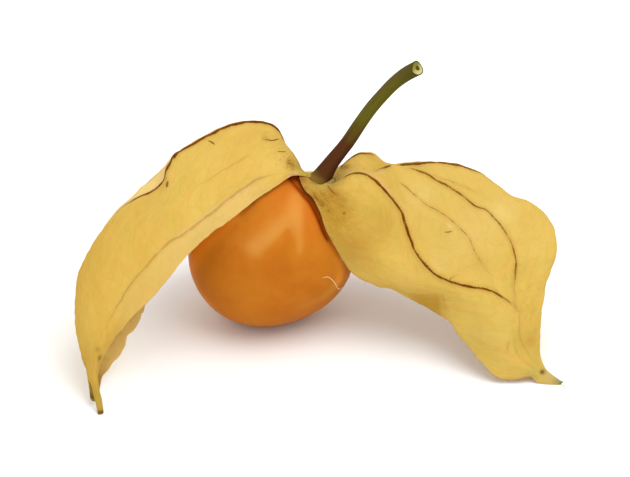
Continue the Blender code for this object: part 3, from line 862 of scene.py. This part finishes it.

# Each look's torn edges: how far the front and the rear one wander, in mm.
# Veins: a rib's number, drawn points or places along the ribs, then darkness, half width in mm, fade in
# and fade out (shares of the length), and how far the vein and the fold around it rise, in mm.
# Highlight and pale rim lines: painted highlights beside ribs and folds, and a pale torn rim; drawn points,
# amount, half width in mm. Swells: right, up, radius, height in mm.
# Stains, and patches of painted shade and highlight: a place (right, up, radius), a stretch (between ribs,
# along, softness of both) or an area (corners clockwise, softness), then the amount and the colour.
LEFT_LOOK = {
    "ragged": (0.09, 0.16),
    "veins": [
        (1, 0.31, 0.15, (0.10, 0.2), (0.70, 0.84), 0.07, 0.12),
        ([(1.9, 12.0), (1.4, 12.6), (1.15, 13.3), (0.4, 14.1), (-0.7, 14.54), (-2.7, 14.55), (-5.1, 14.08),
          (-7.1, 13.09), (-8.6, 12.3), (-10.7, 10.97), (-11.6, 9.95)],
         1.0, 0.30, (0.0, 0.10), (0.97, 1.0), 0.10, 0.10),
        ([(-10.7, 11.05), (-11.65, 10.0), (-12.2, 9.1), (-12.5, 7.8), (-13.4, 6.65), (-14.5, 6.0),
          (-15.9, 5.4), (-17.3, 4.6), (-18.7, 3.4), (-20.3, 1.3)],
         1.0, 0.23, (0.0, 0.03), (0.45, 0.92), 0.10, 0.14),
        (4, 0.80, 0.14, (0.04, 0.08), (0.80, 0.95), 0.10, 0.10),
        # a soft crease: a slight groove whose darkness is painted shade in the fold
        ([(-1.2, 11.5), (-3.6, 10.1), (-6.1, 8.7), (-9.4, 6.6)],
         0.16, 0.12, (0.0, 0.3), (0.7, 1.0), -0.05, -0.08),
        *branches(4, 1, (0.10, 0.21, 0.30, 0.42, 0.52, 0.65)),
        *branches(4, -1, (0.08, 0.17, 0.25), 0.08),
    ],
    # painted highlights: along the left flap's rim at its root, and beside the front vein
    "highlight_and_pale_rim_lines": [
        ([(1.9, 8.25), (2.4, 8.25), (3.0, 8.5), (3.5, 8.6)], 0.85, 0.25),
        ([(-1.5, 7.9), (-4.2, 6.0), (-7.0, 4.1), (-9.6, 2.2), (-12.4, 0.3)], 0.25, 0.25),
    ],
    "swells": [(2.2, 10.6, 1.3, 0.25), (-12.0, 2.0, 3.0, 0.25)],
    "stains": [
        (((3.0, 3.7), (0.30, 0.66), 0.12, 0.04), 0.90, (1.0, 0.78, 0.31)),
        (((-1.0, 1.0), (0.18, 0.75), 0.25, 0.05), 0.60, PALE),
        ((0.6, 10.2, 2.5), 0.45, (0.98, 0.72, 0.18)),
        ((-3.0, 13.3, 1.6), 0.4, (0.80, 0.52, 0.11)),
        ((-3.5, 10.0, 5.0), 0.35, (0.90, 0.565, 0.13)),
        ((-13.2, 3.6, 2.5), 0.35, (0.74, 0.50, 0.11)),
        (((-1.0, 3.2), (0.52, 2.0), 0.3, 0.16), 0.45, (0.74, 0.47, 0.075)),
        (((3.7, 9.0), (0.50, 0.97), 0.4, 0.05), 0.90, TAN),
        ((-20.2, -14.5, 3.2), 0.50, (0.62, 0.36, 0.055)),
        (((-1.0, 9.0), (-1.0, 0.05), 0.2, 0.03), 0.5, OLIVE),
        ((2.5, 9.7, 0.9), 0.70, (0.42, 0.19, 0.014)),
        ((2.9, 10.8, 0.7), 0.40, (0.46, 0.22, 0.016)),
        ((2.3, 10.2, 1.5), 0.70, GRIT),
        ((-0.6, 12.75, 0.45), 0.45, RUSSET),
        ((-20.4, -13.5, 0.32), 0.7, BROWN),
        ((-20.6, -12.5, 0.3), 0.3, BROWN),
        (((-1.0, 1.99), (0.94, 2.0), 0.01, 0.02), 0.35, OLIVE),
        (((-1.0, 1.99), (0.99, 2.0), 0.01, 0.004), 0.9, BROWN),
        (((2.01, 9.0), (0.987, 2.0), 0.01, 0.006), 0.8, BROWN),
        (((2.6, 9.0), (0.92, 2.0), 0.3, 0.03), 0.55, OLIVE),
    ],
}
RIGHT_LOOK = {
    "ragged": (0.07, 0.16),
    "veins": [
        (2, 1.0, 0.18, (0.022, 0.045), (0.63, 0.76), 0.13, 0.12),
        (3, 0.58, 0.11, (0.19, 0.24), (0.52, 0.68), 0.06, 0.04),
        (4, 0.88, 0.14, (0.20, 0.26), (0.64, 0.78), 0.09, 0.08),
        (7, 0.85, 0.16, (0.04, 0.08), (0.80, 0.95), 0.12, 0.10),
        ([(12.3, 8.45), (12.9, 8.95), (13.7, 9.2), (14.4, 9.35), (15.3, 9.5), (16.6, 9.65), (18.7, 9.8),
          (20.2, 9.8), (22.0, 9.6), (23.5, 9.2), (25.25, 8.6), (26.8, 7.6), (28.4, 6.4), (29.8, 5.6)],
         0.9, 0.19, (0.0, 0.12), (0.58, 1.0), 0.05, 0.05),
        ([(8.5, 9.0), (9.0, 9.75), (9.8, 10.4), (10.7, 10.9), (11.5, 11.0), (12.3, 10.85), (13.0, 10.3)],
         0.90, 0.15, (0.0, 0.1), (0.7, 1.0), 0.04, 0.0),
        ([(19.3, 8.5), (20.1, 8.05), (21.4, 7.7), (23.1, 7.0), (24.6, 6.4), (26.6, 5.6)],
         0.45, 0.055, (0.0, 0.1), (0.6, 1.0), 0.04, 0.0),
        ([(6.75, 7.3), (7.2, 6.7), (7.75, 6.2), (8.4, 5.5)], 0.60, 0.13, (0.0, 0.2), (0.5, 1.0), 0.05, 0.0),
        ([(5.0, 6.6), (5.7, 5.5), (6.7, 4.1)], 0.45, 0.09, (0.0, 0.3), (0.6, 1.0), 0.04, 0.0),
        ([(5.9, 6.6), (6.5, 5.7), (7.5, 4.8)], 0.35, 0.10, (0.0, 0.3), (0.6, 1.0), 0.04, 0.0),
        # crease at the dark fold's right end: a slight groove whose darkness is painted shade
        ([(20.8, -5.7), (21.0, -7.1), (21.5, -8.6)], 0.35, 0.06, (0.0, 0.2), (0.7, 1.0), -0.05, -0.05),
        ([(21.5, -4.1), (22.3, -3.75), (23.2, -3.3)], 0.32, 0.09, (0.0, 0.1), (0.4, 1.0), 0.03, 0.0),
        # a faint crease: a slight groove whose darkness is painted shade
        ([(28.7, -11.0), (28.4, -13.2)], 0.30, 0.06, (0.0, 0.3), (0.7, 1.0), -0.04, 0.0),
        *branches(7, 1, (0.14, 0.25, 0.34, 0.47, 0.58, 0.70)),
        *branches(7, -1, (0.18, 0.31, 0.43, 0.54, 0.66), 0.09),
    ],
    # painted highlights beside the right flap's ribs
    "highlight_and_pale_rim_lines": [
        ([(14.0, 7.1), (15.4, 5.4), (16.5, 3.4), (17.1, 1.4)], 0.22, 0.2),
        ([(8.9, 8.1), (10.2, 8.75), (11.7, 8.6), (13.2, 7.5), (15.1, 5.4)], 0.6, 0.2),
        ([(12.5, 8.3), (13.2, 8.7), (14.0, 8.9)], 0.6, 0.2),
        ([(6.8, 7.6), (7.6, 7.4), (8.4, 7.5)], 0.5, 0.25),
    ],
    "swells": [
        (21.6, 2.6, 1.4, 0.25), (20.2, 0.4, 1.4, -0.3), (21.2, -2.0, 1.4, 0.25), (12.0, 3.0, 2.5, 0.3),
    ],
    "stains": [
        # panels B and C lighter: partly the husk's own tone, partly painted light where they face the light
        (((2.3, 3.9), (0.20, 0.62), 0.4, 0.04), 0.50, LIGHT),
        (((4.1, 6.0), (0.24, 0.66), 0.3, 0.04), 0.50, LIGHT),
        # panel A darker ochre: partly the husk's own tone, partly painted shade where it faces away from the
        # light
        ((7.6, 3.4, 2.8), 0.95, OCHRE),
        ((10.3, 0.2, 3.0), 0.58, (0.59, 0.305, 0.028)),
        ((13.5, 3.0, 2.5), 0.45, OCHRE),
        (((-1.0, 9.0), (-1.0, 0.04), 0.2, 0.03), 0.35, OLIVE),
        ((8.1, 8.2, 0.7), 0.9, (0.74, 0.48, 0.11)),
        ((11.1, 9.9, 1.0), 0.6, (0.98, 0.66, 0.14)),
        ((5.3, 7.5, 0.7), 0.7, (0.34, 0.17, 0.02)),
        ((31.7, -15.4, 1.1), 0.5, (0.55, 0.47, 0.13)),
        ((7.6, 6.1, 1.2), 0.75, RUSSET),
        ((9.0, 9.3, 0.7), 0.8, (0.40, 0.18, 0.02)),
        ((5.2, 6.0, 1.1), 0.65, RUSSET),
        ((6.0, 5.1, 0.9), 0.55, RUSSET),
        # painted shade in the wedge where the right flap's root meets the berry and the left flap
        ((3.6, 7.7, 0.9), 0.9, PAINTED_ROOT_SHADE),
        ((4.2, 6.7, 0.45), 0.6, PAINTED_ROOT_SHADE),
        ((5.8, 5.4, 1.8), 0.90, GRIT),
        ((8.5, 4.0, 2.6), 0.30, GRIT),
        ((22.5, 1.5, 8.0), 0.30, (0.70, 0.49, 0.105)),
        ((27.7, 4.0, 1.8), 0.5, (0.93, 0.75, 0.27)),
        ((8.5, 5.3, 1.1), 0.55, RUSSET),
        # painted shade where the right flap's lower edge folds under and faces down
        (([(16.5, -5.8), (20.3, -5.85), (20.8, -9.6), (18.5, -8.6)], 0.2), 0.30, PAINTED_FOLD_SHADE),
        (([(16.5, -5.9), (20.8, -6.1), (21.4, -10.4), (19.0, -8.6)], 0.9), 0.50, PAINTED_FOLD_SHADE),
        ((25.4, -2.4, 1.5), 0.4, (0.66, 0.43, 0.08)),
        ((24.0, 1.5, 3.0), 0.3, PALE),
        ((18.1, 6.0, 1.8), 0.45, (0.90, 0.70, 0.25)),
        # painted highlight on a pucker's lit side
        ((20.5, -2.0, 1.5), 0.3, PALE),
        ((16.4, -4.5, 1.3), 0.35, (0.88, 0.62, 0.20)),
        ((26.0, -11.5, 4.5), 0.55, (0.745, 0.57, 0.15)),
        ((31.0, -11.5, 1.6), 0.45, OCHRE),
        ((32.75, -15.25, 0.3), 1.0, BROWN),
        ((32.6, -15.3, 0.22), 1.0, BROWN),
        ((33.3, -16.0, 0.9), 0.6, (0.72, 0.56, 0.20)),
        ((33.6, -15.3, 0.4), 0.8, PINK),
        ((34.6, -16.5, 0.6), 0.9, MOSS),
        # painted shade: dark grey where the gap under the tip lies
        ((35.05, -16.7, 0.25), 0.8, (0.16, 0.14, 0.08)),
        ((8.85, 3.75, 0.18), 0.8, BROWN),
        ((6.3, 4.8, 0.25), 0.6, (0.25, 0.11, 0.006)),
        ((7.1, 4.1, 0.22), 0.6, (0.25, 0.11, 0.006)),
        # painted highlight on a pucker's lit side
        ((21.5, 2.3, 0.35), 0.8, PALE),
    ],
}


# ---------------------------------------------------------------- berry, stalk and calyx base

def build_berry():
    """The berry: three soft lobes, sunk a little under the calyx, pressed flat underneath."""
    segments, rings = 180, 120
    crown = drawn(*COLLAR_PLACE).normalized()
    side = crown.orthogonal().normalized()
    across = crown.cross(side)
    ways = []
    for i in range(rings + 1):
        tilt = math.pi * i / rings
        for j in range(segments if 0 < i < rings else 1):
            turn = 2 * math.pi * j / segments
            around_it = side * math.cos(turn) + across * math.sin(turn)
            ways.append(crown * math.cos(tilt) + around_it * math.sin(tilt))
    faces = [(0, 1 + j, 1 + (j + 1) % segments) for j in range(segments)]
    for i in range(1, rings - 1):
        a, b = 1 + (i - 1) * segments, 1 + i * segments
        faces += [(a + j, b + j, b + (j + 1) % segments, a + (j + 1) % segments) for j in range(segments)]
    last = len(ways) - 1
    a = 1 + (rings - 2) * segments
    faces += [(a + j, last, a + (j + 1) % segments) for j in range(segments)]
    verts = [berry_point(way) for way in ways]
    skin = np.array([[list(v) for v in verts]])
    values = {
        "down": [way.angle(crown) / math.pi for way in ways],
        "painted_light_and_shade": streaks(skin, BERRY_PAINTED_LIGHT_AND_SHADE),
        "painted_fill_light": streaks(skin, BERRY_PAINTED_FILL_LIGHT),
        "painted_edge_shadow": streaks(skin, BERRY_PAINTED_EDGE_SHADOW),
    }
    add_piece("ripe_berry", verts, faces, berry_skin(), values, "berry_skin", "berry")


def streaks(skin, drawn_streaks):
    """How strong the soft streaks drawn on the berry are at each of its points."""
    total = np.zeros(skin.shape[1])
    for points, start, end, amount in drawn_streaks:
        away, place = nearest(skin, evenly([on_berry(*p) for p in points], 120))
        wide = start + (end - start) * place[0]
        total += amount * np.exp(-((away[0] / wide) ** 2))
    return total


def bell(way, centre, width):
    """A soft round spot on the berry: 1 in the direction of its centre, 0 well beyond width degrees."""
    return math.exp(-((way.angle(drawn(*centre)) / math.radians(width)) ** 2))


def berry_point(way):
    """The berry's surface in one direction from its middle."""
    right, up, back = way.dot(RIGHTWARDS), way.dot(UPWARDS), way.dot(BACKWARDS)
    lobes = 0.03 * (1 - back**2) ** 1.5 * math.cos(3 * (math.atan2(up, right) - math.radians(228.0)))
    sink = 0.05 * bell(way, COLLAR_PLACE, 25.0)
    dents = sum(depth * bell(way, centre, width) for centre, width, depth in BERRY_DENTS)
    uneven = 0.004 * noise.noise(way * 2.2) + 0.0012 * noise.noise(way * 6.0)
    point = CENTRE + way * BERRY_RADIUS * MM * (1 + lobes - sink + uneven - dents)
    point.z = max(point.z, BERRY_FLOOR_GAP)
    return point


def on_berry(right, up, above=0.0):
    """The point of the berry's front at this drawn place."""
    way = drawn(right, up, -math.sqrt(max(BERRY_RADIUS**2 - right**2 - up**2, 1.0))).normalized()
    return berry_point(way) + way * above * MM


# The berry's dents: directions (right, up, back), widths in degrees, and depths as shares of the radius.
BERRY_DENTS = [
    ((1.6, 0.9, -9.8), 11.0, 0.010), ((-4.0, -4.5, -8.0), 16.0, 0.006), ((-9.6, -2.2, -1.0), 18.0, -0.012),
]
# Soft streaks: drawn points, half widths in mm at both ends, amount. The first ones are painted highlight,
# and painted shade where the amount is negative.
BERRY_PAINTED_LIGHT_AND_SHADE = [
    ([(3.3, 6.2), (2.9, 4.6), (2.2, 3.1), (0.6, 1.5), (-1.7, -0.3)], 1.2, 1.8, 0.55),
    ([(3.5, 5.4), (3.55, 2.6), (3.55, -0.8)], 1.0, 0.6, 0.42),
    ([(2.1, 1.6), (1.7, -0.2), (1.2, -1.6)], 0.35, 1.6, -0.50),
    ([(-3.0, -3.0), (1.0, -3.4), (4.6, -2.4)], 1.2, 1.0, -0.40),
    ([(-4.0, -8.2), (1.0, -9.2), (5.0, -7.6)], 2.0, 2.0, -0.20),
    ([(4.0, -7.6), (6.4, -6.4), (8.0, -4.6)], 1.6, 1.4, 0.40),
]
# Painted fill light: brighter orange skin where the flaps' shadow and the side shading darken the berry.
BERRY_PAINTED_FILL_LIGHT = [
    ([(-9.5, -0.8), (-7.2, 1.4), (-4.6, 3.5)], 3.0, 1.2, 0.85),
    ([(-4.6, 3.5), (-2.0, 5.4), (1.2, 7.2)], 1.0, 1.0, 0.22),
    ([(7.6, 0.2), (8.4, -2.2), (8.2, -4.2)], 1.3, 1.3, 0.45),
    ([(-9.6, -2.6), (-8.9, -4.6), (-7.4, -6.6)], 1.3, 1.5, 0.3),
]
# Painted shadow: dark skin beside the right flap's edge, where the flap shades the berry.
BERRY_PAINTED_EDGE_SHADOW = [
    ([(2.35, 8.3), (2.9, 7.65), (3.4, 7.1), (3.9, 6.5), (4.3, 5.95), (4.8, 5.4), (5.1, 4.85), (5.45, 4.1),
      (5.75, 3.35), (6.0, 2.7), (6.25, 1.95), (6.55, 1.2), (6.9, 0.6)], 0.46, 0.22, 1.0),
]


def tube(line, radii, segments, wobble=None):
    """Rings of points around a line, with a frame that doesn't twist."""
    count = len(line)
    ahead = [(line[min(i + 1, count - 1)] - line[max(i - 1, 0)]).normalized() for i in range(count)]
    side = ahead[0].orthogonal().normalized()
    rings, sides = [], []
    for i in range(count):
        side = (side - ahead[i] * side.dot(ahead[i])).normalized()
        up = ahead[i].cross(side)
        ring = []
        for j in range(segments):
            turn = 2 * math.pi * j / segments
            out = side * math.cos(turn) + up * math.sin(turn)
            reach = radii[i] * (1 + (wobble(i / (count - 1), turn) if wobble else 0.0))
            ring.append(line[i] + out * reach)
            sides.append(out.dot(RIGHTWARDS))
        rings.append(ring)
    return rings, sides, ahead


def build_stem():
    """The stalk: a ridged tube with a wide foot, cut across at a slant, with a faintly domed end."""
    count, segments = 120, 32
    line = [Vector(p) for p in curve([placed(*p) for p, _ in STEM_LINE], count)]
    radii = curve([[share] for _, share in STEM_LINE], count)[:, 0] * STEM_RADIUS

    def ridges(place, turn):
        return 0.035 * math.sin(5 * turn + 2.0 * place) + 0.03 * noise.noise(
            Vector((math.cos(turn) * 1.5, math.sin(turn) * 1.5, place * 9)))

    rings, sides, ahead = tube(line, radii, segments, ridges)
    end, facing = line[-1], (ahead[-1] + drawn(0.1, -0.25, -1.1)).normalized()
    for ring in rings[-8:]:
        for k, point in enumerate(ring):
            beyond = (point - end).dot(facing)
            if beyond > 0:
                ring[k] = point - ahead[-1] * (beyond / ahead[-1].dot(facing))
    verts = [p for ring in rings for p in ring]
    base = len(verts)
    along = [i * STALK_LENGTH / count for i in range(count) for _ in range(segments)]
    across = [radii[i] / MM * 2 * math.pi * j / segments for i in range(count) for j in range(segments)]
    rise = [i / (count - 1) for i in range(count) for _ in range(segments)]
    cut = [2.0] * len(verts)  # 2 on the stalk's side, and the share of the radius on the cut face
    middle = sum(rings[-1], Vector()) / segments
    rims = [1.0, 0.93, 0.8, 0.6, 0.4, 0.2]
    for share in rims:
        for j, point in enumerate(rings[-1]):
            bulge = 0.06 * MM * (1 - share**2) + (0.03 * MM if share == 1.0 else 0.0)
            verts.append(middle + (point - middle) * share * 0.985 + facing * bulge)
            along.append(STALK_LENGTH + share)
            across.append(j * 0.16)
            rise.append(1.0)
            cut.append(share)
            sides.append(share * sides[j])
    verts.append(middle + facing * 0.06 * MM)
    for values, last_one in ((along, STALK_LENGTH), (across, 0.0), (rise, 1.0), (cut, 0.0), (sides, 0.0)):
        values.append(last_one)
    faces = ring_faces(count + len(rims), segments)
    last = len(verts) - 1
    inner = base + (len(rims) - 1) * segments
    faces += [(inner + j, inner + (j + 1) % segments, last) for j in range(segments)]
    faces += [tuple(reversed(range(segments)))]
    sheet = np.stack([along, across, np.zeros(len(verts))], axis=1)
    values = {"sheet": sheet, "rise": rise, "cut": cut, "side": sides}
    add_piece("stalk_fine", verts, faces, stalk_skin(), values, "stalk", "stem")


def build_collar():
    """The calyx base: a low cone of fused sepals around the stalk's foot, with a thin uneven rim."""
    segments = 90
    profile = [(0.95, 0.75), (1.15, 0.55), (1.5, 0.33), (1.9, 0.16), (2.3, 0.0), (2.6, -0.2), (2.75, -0.4),
               (2.72, -0.5), (2.5, -0.45), (2.1, -0.33), (1.6, -0.25), (1.0, -0.2)]
    verts, out, sheet = [], [], []
    for radius, height in profile:
        for j in range(segments):
            degrees = 360.0 * j / segments
            turn = math.radians(degrees)
            pleat = 0.08 * math.sin(5 * turn + 0.6) + 0.10 * noise.noise(
                Vector((math.cos(turn) * 3, math.sin(turn) * 3, radius * 0.6)))
            wide = smooth(1.0, 2.7, radius)
            point = round_collar(degrees, (radius + 0.35 * pleat * wide) * MM, (height + pleat * wide) * MM)
            verts.append(point)
            out.append(radius / 2.75)
            sheet.append((radius, turn * 2.0, height))
    faces = ring_faces(len(profile), segments)
    top, bottom = len(verts), len(verts) + 1
    verts += [round_collar(0, 0.0, 0.75 * MM), round_collar(0, 0.0, -0.2 * MM)]
    out += [0.0, 0.0]
    sheet += [(0, 0, 0), (0, 0, 0)]
    base = (len(profile) - 1) * segments
    faces += [((j + 1) % segments, j, top) for j in range(segments)]
    faces += [(base + j, base + (j + 1) % segments, bottom) for j in range(segments)]
    faces = [tuple(reversed(f)) for f in faces]
    values = {"out": out, "sheet": sheet}
    add_piece("calyx_fine", verts, faces, calyx_skin(), values, "calyx_base", "husk_collar")


# ---------------------------------------------------------------- marks and fibres

def sliver(points, radius, segments=8):
    """A thin tube that tapers at both ends, as verts and faces."""
    count = 24
    line = [Vector(p) for p in curve(points, count)]
    radii = [radius * (0.15 + 0.85 * math.sin(math.pi * (i + 0.5) / count) ** 0.7) for i in range(count)]
    rings, _, _ = tube(line, radii, segments)
    verts = [p for ring in rings for p in ring]
    ends = [tuple(reversed(range(segments))), tuple(range((count - 1) * segments, count * segments))]
    return verts, ring_faces(count, segments) + ends


MARK_LIFT = 0.10 * MM
FIBRE_LIFT = 0.08  # mm
# The flap, the half width in mm and the drawn points of each mark.
MARKS = [
    ("left", 0.18, [(-12.2, 7.6), (-12.35, 6.95)]),
    ("left", 0.09, [(-7.4, 12.5), (-7.0, 12.35), (-6.6, 12.15)]),
    ("left", 0.07, [(-0.9, 12.7), (-0.3, 12.66), (0.3, 12.65), (0.9, 12.7), (1.25, 12.75)]),
    ("left", 0.06, [(0.8, 11.25), (1.3, 11.2), (1.8, 11.2), (2.3, 11.25)]),
    ("left", 0.05, [(1.9, 9.9), (2.5, 9.7), (3.0, 9.3)]),
    ("right", 0.05, [(20.9, 1.55), (21.4, 1.45), (21.9, 1.6)]),
]


def build_marks(sheets):
    """Dark slivers that lie on the husk."""
    slivers = []
    for flap, radius, path in MARKS:
        points = [on_sheet(*sheets[flap], *p) - BACKWARDS * MARK_LIFT for p in path]
        slivers.append(sliver(points, radius * MM))
    add_piece("husk_spots", *joined(slivers), dark_marks(), {}, "husk_paper")


def build_stray_fibres():
    """A pale thread on the berry, and one that the right flap's tip ends in."""
    thread = [(6.2, -3.9), (6.9, -3.8), (7.6, -4.4), (8.1, -5.2), (8.75, -4.9)]
    tail = [(34.9, -16.72), (35.15, -16.9), (35.35, -17.15), (35.55, -17.5)]
    on_floor = [placed(right, up, ON_GROUND) + Vector((0.0, 0.0, FIBRE_LIFT * MM)) for right, up in tail]
    on_skin = [on_berry(right, up, above=FIBRE_LIFT) for right, up in thread]
    verts, faces = joined([sliver(on_skin, 0.06 * MM), sliver(on_floor, 0.05 * MM)])
    add_piece("stray_fibres", verts, faces, pale_fibre(), {}, "husk_paper")


# ---------------------------------------------------------------- floor, light and camera

FLOOR_HALF = 3.0
SKY_STRENGTH = 0.89
# Lights: name, way from the berry, distance and size in metres, power in watts.
LIGHTS = [
    ("key", (0.33, -0.25, 0.91), 0.45, 0.45, 1.28),
    ("front", (-0.25, -0.85, 0.55), 0.6, 0.5, 0.45),
    ("left", (-0.85, -0.60, 0.12), 0.6, 0.4, 0.42),
    ("back", (-0.35, 0.85, 0.45), 0.6, 0.4, 0.45),
]
CAMERA_DISTANCE = 2.6
CAMERA_AIM = (5.42, 0.78, 0.0)  # drawn mm
LENS_PER_METRE = 474.3  # mm of lens for each metre of distance, which sets how large the fruit shows


def build_floor():
    """A wide flat floor."""
    mesh = bpy.data.meshes.new("floor")
    corners = ((-1, -1), (1, -1), (1, 1), (-1, 1))
    mesh.from_pydata([(x * FLOOR_HALF, y * FLOOR_HALF, 0.0) for x, y in corners], [], [(0, 1, 2, 3)])
    mesh.materials.append(floor_paint())
    add_object("floor", mesh)


def add_light(name, direction, distance, size, power):
    data = bpy.data.lights.new(name, "AREA")
    data.shape = "DISK"
    data.size = size
    data.energy = power
    lamp = add_object(name, data)
    way = Vector(direction).normalized()
    lamp.location = CENTRE + way * distance
    lamp.rotation_euler = way.to_track_quat("Z", "Y").to_euler()


def light_and_camera():
    """Soft light from four sides and a white sky, and a camera that faces the drawing plane."""
    world = bpy.data.worlds.new("studio")
    world.use_nodes = True
    sky = world.node_tree.nodes["Background"].inputs
    sky["Color"].default_value = (1.0, 1.0, 1.0, 1.0)
    sky["Strength"].default_value = SKY_STRENGTH
    bpy.context.scene.world = world
    for light in LIGHTS:
        add_light(*light)
    bpy.context.scene.view_settings.view_transform = "Standard"
    data = bpy.data.cameras.new("camera")
    data.lens = LENS_PER_METRE * CAMERA_DISTANCE
    data.sensor_width = 36.0
    data.clip_start = 0.01
    camera = add_object("camera", data)
    camera.location = CENTRE + drawn(*CAMERA_AIM) * MM - BACKWARDS * CAMERA_DISTANCE
    camera.rotation_euler = (-BACKWARDS).to_track_quat("Z", "Y").to_euler()
    bpy.context.scene.camera = camera


paper = husk_paper()
sheets = {
    "left": husk_piece("left_husk", LEFT_RIBS, "left_husk_flap", 260, 28, LEFT_LOOK, paper, 3.0),
    "right": husk_piece("right_husk", RIGHT_RIBS, "right_husk_flap", 280, 18, RIGHT_LOOK, paper, 11.0),
}
build_berry()
build_stem()
build_collar()
build_marks(sheets)
build_stray_fibres()
build_floor()
light_and_camera()
